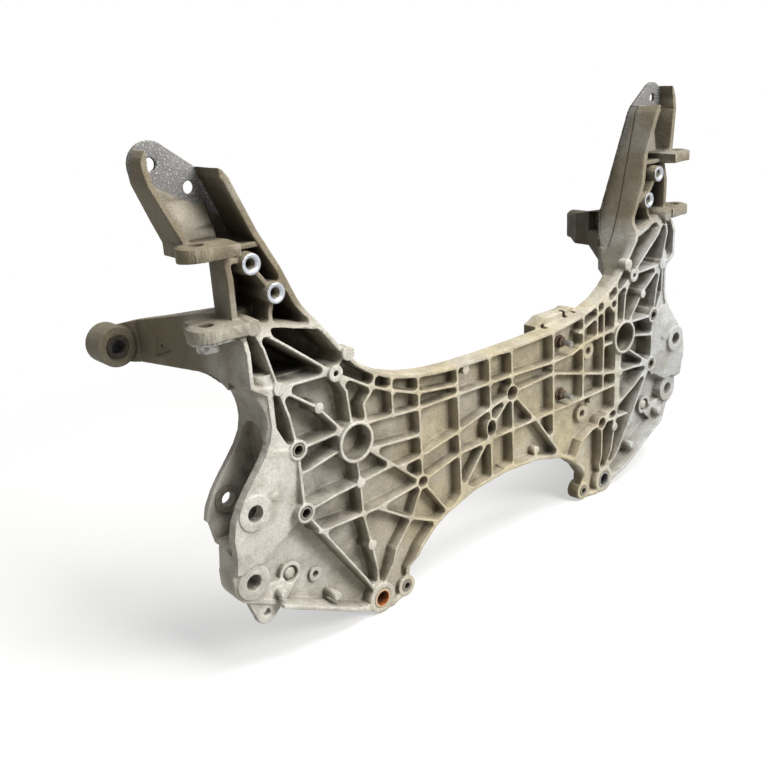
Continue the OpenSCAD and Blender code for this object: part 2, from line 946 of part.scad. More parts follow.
casting();
tower_sleeve("left");  // tower_sleeve_left
tower_sleeve("right");  // tower_sleeve_right
rear_sleeve("left");  // rear_sleeve_left
rear_sleeve("right");  // rear_sleeve_right
stay_insert("left", stay_front);  // stay_insert_front_left
stay_insert("right", stay_front);  // stay_insert_front_right
stay_insert("left", stay_rear);  // stay_insert_rear_left
stay_insert("right", stay_rear);  // stay_insert_rear_right
pivot_insert("left");  // pivot_insert_left
pivot_insert("right");  // pivot_insert_right
lug_insert("left");  // lug_insert_left
lug_insert("right");  // lug_insert_right
core_plug("left");  // plug_left
core_plug("right");  // plug_right
stud(stud_hi);  // upper_stud
stud(stud_lo);  // lower_stud
stud_nut(stud_hi);  // upper_stud_nut
stud_nut(stud_lo);  // lower_stud_nut
clip_nut();
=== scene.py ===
"""Front axle subframe: a ribbed light-alloy casting with steel inserts, dressed for a studio picture."""

import json
import logging
import math
from dataclasses import dataclass
from enum import Enum
from typing import Any

import bpy
import numpy as np
from mathutils import Matrix, Vector

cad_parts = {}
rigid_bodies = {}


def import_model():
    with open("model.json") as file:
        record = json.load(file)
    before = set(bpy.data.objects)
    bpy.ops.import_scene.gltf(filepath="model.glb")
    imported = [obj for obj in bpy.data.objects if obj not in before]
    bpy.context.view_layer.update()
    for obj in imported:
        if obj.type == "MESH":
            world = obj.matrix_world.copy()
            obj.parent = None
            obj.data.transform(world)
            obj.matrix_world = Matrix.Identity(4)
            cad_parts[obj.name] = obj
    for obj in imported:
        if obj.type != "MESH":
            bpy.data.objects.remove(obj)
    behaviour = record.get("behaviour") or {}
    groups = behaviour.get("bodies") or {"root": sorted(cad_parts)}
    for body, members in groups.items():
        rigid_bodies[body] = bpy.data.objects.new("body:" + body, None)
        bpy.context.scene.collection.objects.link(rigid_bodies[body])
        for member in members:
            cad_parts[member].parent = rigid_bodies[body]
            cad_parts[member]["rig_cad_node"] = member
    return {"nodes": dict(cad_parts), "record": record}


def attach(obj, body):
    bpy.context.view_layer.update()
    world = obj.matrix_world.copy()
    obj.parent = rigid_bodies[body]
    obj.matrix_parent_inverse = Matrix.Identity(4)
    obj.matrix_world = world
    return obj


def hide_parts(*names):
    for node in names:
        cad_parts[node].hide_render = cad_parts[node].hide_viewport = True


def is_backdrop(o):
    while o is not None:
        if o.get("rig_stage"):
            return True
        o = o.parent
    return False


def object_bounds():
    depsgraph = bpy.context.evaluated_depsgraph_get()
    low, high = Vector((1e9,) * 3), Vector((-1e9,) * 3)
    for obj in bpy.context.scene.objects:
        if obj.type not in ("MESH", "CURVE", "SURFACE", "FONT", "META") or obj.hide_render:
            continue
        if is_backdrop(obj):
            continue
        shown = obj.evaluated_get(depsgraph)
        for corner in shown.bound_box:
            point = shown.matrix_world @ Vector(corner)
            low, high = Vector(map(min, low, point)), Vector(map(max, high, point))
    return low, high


log = logging.getLogger("subframe")

MM = 0.001
BODY = "root"

# points closer than this are one point
WELD_MM = 0.01

# the drawing datum of the casting, in the part frame: rib face and front boss line
RIB_FACE_MM = -87.5
FRONT_LINE_MM = 275.4

# parting line of the mould on the inner wall of a horn: its depth at the front boss line, and its rise
SEAM_FOOT_MM = 30.0
SEAM_RISE = 0.13

Colour = tuple[float, float, float, float]
Band = tuple[float, float]
Socket = bpy.types.NodeSocket

WHITE: Colour = (1.0, 1.0, 1.0, 1.0)

# sRGB colours that several films share; the three dark ones colour painted shade as well as stains and dirt
STAIN_AND_SHADE = "#8A8170"
ROAD_DIRT_AND_SHADE = "#665A3F"
GRIME_AND_SHADE = "#2A2419"
OXIDE = "#E4E0D4"

# settings that many nodes share
SOFT = {"interpolation_type": "SMOOTHSTEP"}
TIMES = {"operation": "MULTIPLY"}
TIMES_PLUS = {"operation": "MULTIPLY_ADD"}
PLUS = {"operation": "ADD"}
MINUS = {"operation": "SUBTRACT"}
SIZE = {"operation": "ABSOLUTE"}
EITHER = {"operation": "MAXIMUM"}
NEAR = {"operation": "COMPARE"}


class Slot(Enum):
    """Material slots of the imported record."""

    CAST = "cast_alloy"
    ZINC = "zinc_steel"
    RUST = "rusty_steel"
    DARK = "dark_steel"


class Worn(Enum):
    """How far a tool or wear has opened the cast skin of a face."""

    MACHINED = 1.0
    SCUFFED = 0.7
    CLEANED = 0.3


class Node(Enum):
    """The shader nodes that the finishes are made of."""

    PLACE = "ShaderNodeTexCoord"
    SHAPE = "ShaderNodeNewGeometry"
    AXES = "ShaderNodeSeparateXYZ"
    VECTOR = "ShaderNodeVectorMath"
    MATH = "ShaderNodeMath"
    RANGE = "ShaderNodeMapRange"
    MIX = "ShaderNodeMix"
    NOISE = "ShaderNodeTexNoise"
    HOLLOW = "ShaderNodeAmbientOcclusion"
    BUMP = "ShaderNodeBump"
    SURFACE = "ShaderNodeBsdfPrincipled"
    DIFFUSE = "ShaderNodeBsdfDiffuse"
    GLOW = "ShaderNodeEmission"
    SKY = "ShaderNodeBackground"
    BLEND = "ShaderNodeMixShader"
    RAYS = "ShaderNodeLightPath"
    OUTPUT = "ShaderNodeOutputMaterial"
    SKY_OUTPUT = "ShaderNodeOutputWorld"


def linear(code: str) -> Colour:
    """Turns an sRGB hex value into linear colour.

    Args:
        code: six hex digits, with or without a leading #.

    Returns:
        Linear red, green and blue, and an alpha of 1.
    """
    digits = code.lstrip("#")
    channels = [int(digits[i:i + 2], 16) / 255 for i in (0, 2, 4)]
    lin = [c / 12.92 if c <= 0.04045 else ((c + 0.055) / 1.055) ** 2.4 for c in channels]
    return (lin[0], lin[1], lin[2], 1.0)


def per_metre(size_mm: float) -> float:
    """Finds the texture scale for a pattern.

    Args:
        size_mm: width of one feature of the pattern.

    Returns:
        Features per metre.
    """
    return 1.0 / (size_mm * MM)


def metres(lengths_mm: Band) -> Band:
    """Turns a band of lengths into scene units.

    Args:
        lengths_mm: its two ends in millimetres.

    Returns:
        Its two ends in metres.
    """
    return (lengths_mm[0] * MM, lengths_mm[1] * MM)


@dataclass(frozen=True)
class Pattern:
    """Soft-edged patches: their width, the noise values where one starts and is full, and the layers of finer noise."""

    size_mm: float
    low: float
    high: float
    detail: float = 3.0


@dataclass(frozen=True)
class Film:
    """A thin layer, such as dust: its colour, and the most that it hides of what lies under it."""

    colour: str
    share: float = 1.0


@dataclass
class Finish:
    """A node tree under construction."""

    tree: bpy.types.NodeTree

    @classmethod
    def of(cls, owner: bpy.types.Material | bpy.types.World) -> "Finish":
        """Empties the node tree of a material or world and starts on it.

        Args:
            owner: the material or world.

        Returns:
            The empty finish.
        """
        owner.use_nodes = True
        owner.node_tree.nodes.clear()
        return cls(owner.node_tree)

    def add(self, kind: Node, *inputs: Any, out: int | str = 0, named: dict[str | int, Any] | None = None,
            **settings: Any) -> Socket | None:
        """Adds a node with its settings and links.

        Args:
            kind: the node's kind.
            inputs: values or sockets for the node's first inputs, in order.
            out: the output to return.
            named: values or sockets for inputs by name or number.
            settings: attributes of the node.

        Returns:
            The chosen output, or None for a node that has none.
        """
        node = self.tree.nodes.new(kind.value)
        for key, value in settings.items():
            setattr(node, key, value)
        for key, value in {**dict(enumerate(inputs)), **(named or {})}.items():
            if isinstance(value, Socket):
                self.tree.links.new(value, node.inputs[key])
            else:
                node.inputs[key].default_value = value
        return node.outputs[out] if node.outputs else None

    def patches(self, place: Socket, pattern: Pattern) -> Socket:
        """Spreads patches over the surface.

        Args:
            place: the coordinates that carry the pattern.
            pattern: size and edge of the patches.

        Returns:
            0 between the patches and 1 on them.
        """
        scale = per_metre(pattern.size_mm)
        noise = self.add(Node.NOISE, named={"Vector": place, "Scale": scale, "Detail": pattern.detail})
        return self.add(Node.RANGE, noise, pattern.low, pattern.high, **SOFT)

    def coat(self, under: Socket | Colour, film: Film, *masks: Socket) -> Socket:
        """Lays a film over a colour where all the masks are 1.

        Args:
            under: the colour beneath.
            film: the film on top.
            masks: where the film lies, from 0 to 1.

        Returns:
            The coated colour.
        """
        share = film.share
        for mask in masks:
            share = self.add(Node.MATH, mask, share, **TIMES)
        return self.add(Node.MIX, share, named={6: under, 7: linear(film.colour)}, out=2, data_type="RGBA")


@dataclass(frozen=True)
class Spot:
    """A round face of the casting that a tool or a bolt head has touched."""

    x_mm: float
    z_mm: float
    radius_mm: float
    face_mm: float
    worn: Worn


@dataclass(frozen=True)
class Where:
    """Where a point of the casting lies from the drawing datum, in metres, and which way it faces."""

    place: Socket
    x: Socket
    across: Socket
    depth: Socket
    height: Socket
    facing: Socket
    sideways: Socket

    @classmethod
    def of(cls, f: Finish) -> "Where":
        """Adds the nodes that find the place.

        Args:
            f: the finish under construction.

        Returns:
            The sockets.
        """
        place = f.add(Node.PLACE, out="Object")
        x = f.add(Node.AXES, place, out="X")
        facing = f.add(Node.AXES, f.add(Node.SHAPE, out="Normal"), out="X")
        return cls(
            place=place,
            x=x,
            across=f.add(Node.MATH, x, **SIZE),
            depth=f.add(Node.MATH, f.add(Node.AXES, place, out="Y"), RIB_FACE_MM * MM, **MINUS),
            height=f.add(Node.MATH, f.add(Node.AXES, place, out="Z"), FRONT_LINE_MM * MM, **MINUS),
            facing=facing,
            sideways=f.add(Node.MATH, facing, **SIZE),
        )


@dataclass(frozen=True)
class CastAlloy:
    """Pressure-cast aluminium, as cast: a dull pale skin, pitted and mottled, with road dust, rubbed edges, painted
    shade in hollows and painted light on the flanges.

    A band gives the two values between which a mask goes from 0 to 1. Bands named _mm are lengths from the datum.
    """

    skin: str = "#C6C3BA"
    metallic: float = 0.05
    specular: float = 0.2
    roughness: float = 0.6

    # clouds of dirt, stains that go down to under 1 mm, chalky flecks, and pits drawn coarser than real
    clouds: Pattern = Pattern(60, 0.36, 0.66)
    stains: Pattern = Pattern(22, 0.40, 0.66, 9.0)
    flecks: Pattern = Pattern(5, 0.54, 0.72, 7.0)
    pits: Pattern = Pattern(1.5, 0.42, 0.78, 5.0)

    # the right wing is cooler, and the middle holds yellow dust
    cool_skin: Film = Film("#B4B6B5")
    right_wing_mm: Band = (140, 250)
    dust: Film = Film("#B3A683", 0.8)
    middle_mm: Band = (250, 120)
    dust_clouds: Band = (-0.8, 0.8)
    chalk: Film = Film(OXIDE, 0.3)
    stain: Film = Film(STAIN_AND_SHADE, 0.42)

    # the horns and towers hold road dirt, darkened further as painted shade; the flange of a horn holds none and is
    # painted paler, as painted light where the horn wall shades it
    flange_painted_light: Film = Film("#DDD3BD", 0.8)
    flange_depth_mm: Band = (36, 50)
    flange_height_mm: Band = (90, 105)
    flange_sideways: Band = (0.8, 0.3)
    road_dirt_and_shade: Film = Film(ROAD_DIRT_AND_SHADE, 0.87)
    horn_height_mm: Band = (12, 50)
    tower_depth_mm: Band = (42, 70)
    dirt_and_shade_clouds: Band = (-1.6, 0.8)

    # painted shade on the side away from the key lamp: the right tower and the walls that face left carry most of it
    right_tower_painted_shade: Film = Film(GRIME_AND_SHADE, 0.7)
    right_tower_mm: Band = (200, 250)
    left_face_painted_shade: Film = Film(ROAD_DIRT_AND_SHADE, 0.6)
    left_face_painted_dark_shade: Film = Film(GRIME_AND_SHADE, 0.35)
    left_shade_facing: Band = (-0.35, -0.8)
    left_shade_depth_mm: Band = (3, 12)
    left_shade_height_mm: Band = (35, 10)
    left_shade_across_mm: Band = (330, 250)

    # painted shade in the crease of the parting line on the inner wall of each horn
    seam_painted_shade: Film = Film(GRIME_AND_SHADE, 0.75)
    seam_half_mm: Band = (1.4, 0.5)
    seam_sideways: Band = (0.5, 0.8)
    seam_across_mm: Band = (302, 298)
    seam_height_mm: Band = (8, 20)

    # stain and painted shade in the hollows, thickest in the corners and the deep pockets behind the clevis
    hollow_reach_mm: float = 50
    hollow_stain_and_shade: Film = Film(STAIN_AND_SHADE, 0.45)
    shaded: Band = (0.9, 0.4)
    corner_painted_shade: Film = Film(GRIME_AND_SHADE, 0.68)
    corners: Band = (0.62, 0.2)
    corner_mottle: Band = (-0.6, 1.0)
    pocket_painted_shade: Film = Film(GRIME_AND_SHADE, 0.72)
    pockets: Band = (0.95, 0.45)
    pocket_across_mm: Band = (215, 235)
    pocket_height_mm: Band = (-50, -20)
    pocket_depth_mm: Band = (12, 34)

    # free edges are rubbed pale
    rubbed: Film = Film(OXIDE, 0.55)
    edges: Band = (0.54, 0.66)
    pitted: Film = Film(GRIME_AND_SHADE, 0.34)

    # machined faces show bright metal through a grey film, in flecks
    scuffed: Film = Film("#6A6969", 0.95)
    scuffed_from: Band = (0.2, 0.8)
    bare: Film = Film("#B4B8BD")
    bare_from: Band = (1.22, 1.42)
    bare_fleck_mm: float = 1.3
    bare_roughness: float = -0.3
    bare_metallic: float = 0.6

    # the machined end of a horn's flange: its face, and the slanted line that it starts at
    flange_face_mm: float = 57.5
    flange_skin_mm: float = 1.8
    flange_slope: float = 0.553
    flange_foot_mm: Band = (-32.8, -28.8)

    # round machined faces, with the depth that counts as on the face, and the edge in squares of the radius
    spot_skin_mm: float = 2.0
    spot_edge: Band = (1.05, 0.9)
    spots: tuple[Spot, ...] = (
        Spot(281.7, 89.3, 8.8, 11.0, Worn.MACHINED),
        Spot(261.9, 62.0, 8.8, 10.0, Worn.MACHINED),
        Spot(262.6, -73.1, 9.6, -1.0, Worn.CLEANED),
        Spot(261.0, -133.4, 9.6, -1.0, Worn.CLEANED),
        Spot(312.0, -114.0, 15.8, -1.5, Worn.CLEANED),
        Spot(315.0, -182.6, 16.3, 9.0, Worn.CLEANED),
        Spot(177.8, -259.4, 15.8, 4.0, Worn.CLEANED),
    )

    # the rough skin
    grain_mm: float = 1.6
    bump_strength: float = 0.5
    bump_mm: float = 0.7
    stain_relief: float = 1.5
    stain_roughness: float = 0.14

    def material(self) -> bpy.types.Material:
        """Builds the material.

        Returns:
            A material that reads Object coordinates in the part frame.
        """
        material = bpy.data.materials.new("pressure_cast_aluminium")
        f = Finish.of(material)
        at = Where.of(f)
        stains = f.patches(at.place, self.stains)
        tone = self.dust_dirt_and_shade(f, at, stains)
        tone = self.shade_seam(f, at, tone)
        tone = self.shade_hollows(f, at, stains, tone)
        tone = f.coat(tone, self.rubbed, f.add(Node.RANGE, f.add(Node.SHAPE, out="Pointiness"), *self.edges, **SOFT))
        tone = f.coat(tone, self.pitted, f.patches(at.place, self.pits))

        faces = self.bare_faces(f, at)
        tone = f.coat(tone, self.scuffed, f.add(Node.RANGE, faces, *self.scuffed_from, **SOFT))
        film = f.add(Node.NOISE, named={"Vector": at.place, "Scale": per_metre(self.bare_fleck_mm), "Detail": 4.0})
        bare = f.add(Node.RANGE, f.add(Node.MATH, film, faces, **PLUS), *self.bare_from, **SOFT)
        tone = f.coat(tone, self.bare, bare)

        grain = f.add(Node.NOISE, named={"Vector": at.place, "Scale": per_metre(self.grain_mm), "Detail": 3.0})
        relief = f.add(Node.MATH, stains, self.stain_relief, grain, **TIMES_PLUS)
        bump = f.add(Node.BUMP, named={"Strength": self.bump_strength, "Distance": self.bump_mm * MM, "Height": relief})
        rough = f.add(Node.MATH, stains, self.stain_roughness, self.roughness, **TIMES_PLUS)
        rough = f.add(Node.MATH, bare, self.bare_roughness, rough, **TIMES_PLUS)
        metal = f.add(Node.MATH, bare, self.bare_metallic, self.metallic, **TIMES_PLUS)
        surface = f.add(Node.SURFACE, named={"Base Color": tone, "Metallic": metal, "Roughness": rough, "Normal": bump,
                                             "Specular IOR Level": self.specular})
        f.add(Node.OUTPUT, surface)
        return material

    def dust_dirt_and_shade(self, f: Finish, at: Where, stains: Socket) -> Socket:
        """Colours the skin with dust, road dirt and stains, with painted light on the flanges of the horns and painted
        shade on the horns, the towers and the walls that face left.

        Args:
            f: the finish under construction.
            at: the place on the casting.
            stains: where the stains are.

        Returns:
            The colour.
        """
        clouds = f.patches(at.place, self.clouds)
        right_wing = f.add(Node.RANGE, at.x, *metres(self.right_wing_mm), **SOFT)
        tone = f.coat(linear(self.skin), self.cool_skin, right_wing)
        middle = f.add(Node.RANGE, at.across, *metres(self.middle_mm), **SOFT)
        tone = f.coat(tone, self.dust, middle, f.add(Node.RANGE, clouds, *self.dust_clouds, **SOFT))
        tone = f.coat(tone, self.chalk, f.patches(at.place, self.flecks))

        flange = f.add(Node.MATH, f.add(Node.RANGE, at.depth, *metres(self.flange_depth_mm), **SOFT),
                       f.add(Node.RANGE, at.height, *metres(self.flange_height_mm), **SOFT), **TIMES)
        flange = f.add(Node.MATH, flange, f.add(Node.RANGE, at.sideways, *self.flange_sideways, **SOFT), **TIMES)
        horn = f.add(Node.RANGE, at.height, *metres(self.horn_height_mm), **SOFT)
        tower = f.add(Node.RANGE, at.depth, *metres(self.tower_depth_mm), **SOFT)
        dirty_or_shaded = f.add(Node.MATH, f.add(Node.MATH, horn, tower, **EITHER), flange, use_clamp=True, **MINUS)
        # painted light: the flange is painted paler where the horn wall shades it
        tone = f.coat(tone, self.flange_painted_light, flange)
        # road dirt, made darker than dirt alone so that it stands in as painted shade on the horns and towers
        tone = f.coat(tone, self.road_dirt_and_shade, dirty_or_shaded, f.add(Node.RANGE, clouds, *self.dirt_and_shade_clouds, **SOFT))
        tone = f.coat(tone, self.stain, stains)

        # painted shade: the right tower is darkened where it stands in shadow
        tone = f.coat(tone, self.right_tower_painted_shade, tower, f.add(Node.RANGE, at.x, *metres(self.right_tower_mm), **SOFT))
        # painted shade on the walls that face left, away from the key lamp
        left_shaded = (
            f.add(Node.RANGE, at.facing, *self.left_shade_facing, **SOFT),
            f.add(Node.RANGE, at.depth, *metres(self.left_shade_depth_mm), **SOFT),
            f.add(Node.RANGE, at.height, *metres(self.left_shade_height_mm), **SOFT),
            f.add(Node.RANGE, at.across, *metres(self.left_shade_across_mm), **SOFT),
        )
        tone = f.coat(tone, self.left_face_painted_shade, *left_shaded)
        return f.coat(tone, self.left_face_painted_dark_shade, *left_shaded)

    def shade_seam(self, f: Finish, at: Where, tone: Socket) -> Socket:
        """Darkens the parting line that runs up the inner wall of each horn, as painted shade in its crease.

        Args:
            f: the finish under construction.
            at: the place on the casting.
            tone: the colour so far.

        Returns:
            The colour with the line.
        """
        line = f.add(Node.MATH, at.height, SEAM_RISE, SEAM_FOOT_MM * MM, **TIMES_PLUS)
        off_line = f.add(Node.MATH, f.add(Node.MATH, line, at.depth, **MINUS), **SIZE)
        # painted shade along the crease of the parting line
        return f.coat(
            tone, self.seam_painted_shade,
            f.add(Node.RANGE, off_line, *metres(self.seam_half_mm), **SOFT),
            f.add(Node.RANGE, at.sideways, *self.seam_sideways, **SOFT),
            f.add(Node.RANGE, at.across, *metres(self.seam_across_mm), **SOFT),
            f.add(Node.RANGE, at.height, *metres(self.seam_height_mm), **SOFT),
        )

    def shade_hollows(self, f: Finish, at: Where, stains: Socket, tone: Socket) -> Socket:
        """Darkens the hollows with stain and painted shade.

        Args:
            f: the finish under construction.
            at: the place on the casting.
            stains: where the stains are.
            tone: the colour so far.

        Returns:
            The colour with dirt in the hollows.
        """
        hollow = f.add(Node.HOLLOW, named={"Distance": self.hollow_reach_mm * MM}, out="AO", samples=8, only_local=True)
        # stain and painted shade where the surface is partly hidden
        tone = f.coat(tone, self.hollow_stain_and_shade, f.add(Node.RANGE, hollow, *self.shaded, **SOFT))
        # painted shade in the corners
        tone = f.coat(
            tone, self.corner_painted_shade,
            f.add(Node.RANGE, hollow, *self.corners, **SOFT),
            f.add(Node.RANGE, stains, *self.corner_mottle, **SOFT),
        )
        # painted shade in the deep pockets behind the clevis
        return f.coat(
            tone, self.pocket_painted_shade,
            f.add(Node.RANGE, at.across, *metres(self.pocket_across_mm), **SOFT),
            f.add(Node.RANGE, at.height, *metres(self.pocket_height_mm), **SOFT),
            f.add(Node.RANGE, at.depth, *metres(self.pocket_depth_mm), **SOFT),
            f.add(Node.RANGE, hollow, *self.pockets, **SOFT),
        )

    def bare_faces(self, f: Finish, at: Where) -> Socket:
        """Marks the machined faces.

        Args:
            f: the finish under construction.
            at: the place on the casting.

        Returns:
            How bare the metal is, 0 to 1.
        """
        on_flange = f.add(Node.MATH, at.depth, self.flange_face_mm * MM, self.flange_skin_mm * MM, **NEAR)
        rise = f.add(Node.MATH, at.across, -self.flange_slope, at.height, **TIMES_PLUS)
        over_foot = f.add(Node.RANGE, rise, *metres(self.flange_foot_mm), **SOFT)
        total = f.add(Node.MATH, on_flange, f.add(Node.MATH, over_foot, Worn.SCUFFED.value, **TIMES), **TIMES)
        for spot in self.spots:
            on_face = f.add(Node.MATH, at.depth, spot.face_mm * MM, self.spot_skin_mm * MM, **NEAR)
            dx = f.add(Node.MATH, at.across, spot.x_mm * MM, **MINUS)
            dz = f.add(Node.MATH, at.height, spot.z_mm * MM, **MINUS)
            square = f.add(Node.MATH, dx, dx, f.add(Node.MATH, dz, dz, **TIMES), **TIMES_PLUS)
            edge = [(spot.radius_mm * MM) ** 2 * part for part in self.spot_edge]
            mark = f.add(Node.MATH, on_face, f.add(Node.RANGE, square, *edge, **SOFT), **TIMES)
            total = f.add(Node.MATH, mark, spot.worn.value, total, **TIMES_PLUS)
        return total


@dataclass(frozen=True)
class Bore:
    """A bore along the depth of the part: its axis from the datum, and its radius."""

    x_mm: float
    z_mm: float
    radius_mm: float


@dataclass(frozen=True)
class Steel:
    """Turned or pressed steel: plated, rusted or phosphated, with patches of a second colour."""

    name: str
    colour: str
    patch: Film
    metallic: float
    roughness: float
    patches: Pattern = Pattern(3, 0.42, 0.66, 5.0)
    patch_roughness: float = 0.35
    patch_metallic: float = -0.5

    # a sleeve can have a dusty end face that differs from its bore
    bore: Bore | None = None
    bore_edge_mm: Band = (0.3, 0.9)
    face: Film = Film("#B7AE98", 0.85)

    # bores and corners are dark
    shade: Film = Film("#14110C", 0.85)
    shaded: Band = (0.75, 0.25)
    shade_reach_mm: float = 20

    # turned grain, coarser than real tool marks so that it shows
    grain_mm: float = 0.6
    bump_strength: float = 0.3
    bump_mm: float = 0.3

    def material(self) -> bpy.types.Material:
        """Builds the material.

        Returns:
            A material that reads Object coordinates in the part frame.
        """
        material = bpy.data.materials.new(self.name)
        f = Finish.of(material)
        place = f.add(Node.PLACE, out="Object")
        patches = f.patches(place, self.patches)
        tone = f.coat(linear(self.colour), self.patch, patches)
        if self.bore:
            tone = f.coat(tone, self.face, self.outside_bore(f, place, self.bore))
        hollow = f.add(Node.HOLLOW, named={"Distance": self.shade_reach_mm * MM}, out="AO", samples=6)
        tone = f.coat(tone, self.shade, f.add(Node.RANGE, hollow, *self.shaded, **SOFT))
        rough = f.add(Node.MATH, patches, self.patch_roughness * self.patch.share, self.roughness, **TIMES_PLUS)
        dulled = self.patch_metallic * self.metallic * self.patch.share
        metal = f.add(Node.MATH, patches, dulled, self.metallic, **TIMES_PLUS)
        grain = f.add(Node.NOISE, named={"Vector": place, "Scale": per_metre(self.grain_mm), "Detail": 2.0})
        bump = f.add(Node.BUMP, named={"Strength": self.bump_strength, "Distance": self.bump_mm * MM, "Height": grain})
        surface = f.add(Node.SURFACE, named={"Base Color": tone, "Metallic": metal, "Roughness": rough, "Normal": bump})
        f.add(Node.OUTPUT, surface)
        return material

    def outside_bore(self, f: Finish, place: Socket, bore: Bore) -> Socket:
        """Tells the dusty end face of a sleeve from its bore.

        Args:
            f: the finish under construction.
            place: the part's coordinates.
            bore: the sleeve's bore.

        Returns:
            0 in the bore and 1 on the end face.
        """
        centre = (bore.x_mm * MM, 0.0, (bore.z_mm + FRONT_LINE_MM) * MM)
        off = f.add(Node.VECTOR, f.add(Node.VECTOR, place, centre, **MINUS), (1, 0, 1), **TIMES)
        away = f.add(Node.VECTOR, off, out="Value", operation="LENGTH")
        edge_mm = (bore.radius_mm + self.bore_edge_mm[0], bore.radius_mm + self.bore_edge_mm[1])
        return f.add(Node.RANGE, away, *metres(edge_mm), **SOFT)


STEELS = {
    Slot.ZINC: Steel("zinc_plated_steel", "#9C9A94", Film("#57534B", 0.6), 0.8, 0.42),
    Slot.RUST: Steel("rusted_steel", "#B8661F", Film("#6A3A17", 0.7), 0.1, 0.78, bore=Bore(-177.8, -259.4, 7.25)),
    Slot.DARK: Steel("phosphated_steel", "#7D786D", Film("#9A9384", 0.6), 0.45, 0.52),
}
# pieces whose surface differs from the rest of their slot, by a part of their name
PIECE_STEELS = {
    "stud_nut": Steel("rusted_nut", "#75604D", Film("#43382E", 0.6), 0.3, 0.66),
    "tower_sleeve": Steel("oiled_sleeve_steel", "#3A3328", Film("#1C1812", 0.6), 0.05, 0.8),
    "plug": Steel("dusty_plug_steel", "#B4B0A4", Film("#8D887B", 0.6), 0.35, 0.55),
}


def choose(obj: bpy.types.Object) -> None:
    """Makes an object the only selected one, and the active one.

    Args:
        obj: the object.
    """
    bpy.ops.object.select_all(action="DESELECT")
    obj.select_set(True)
    bpy.context.view_layer.objects.active = obj


def apply_all(obj: bpy.types.Object) -> None:
    """Applies every modifier of an object in order.

    Args:
        obj: the object.
    """
    choose(obj)
    for modifier in list(obj.modifiers):
        bpy.ops.object.modifier_apply(modifier=modifier.name)


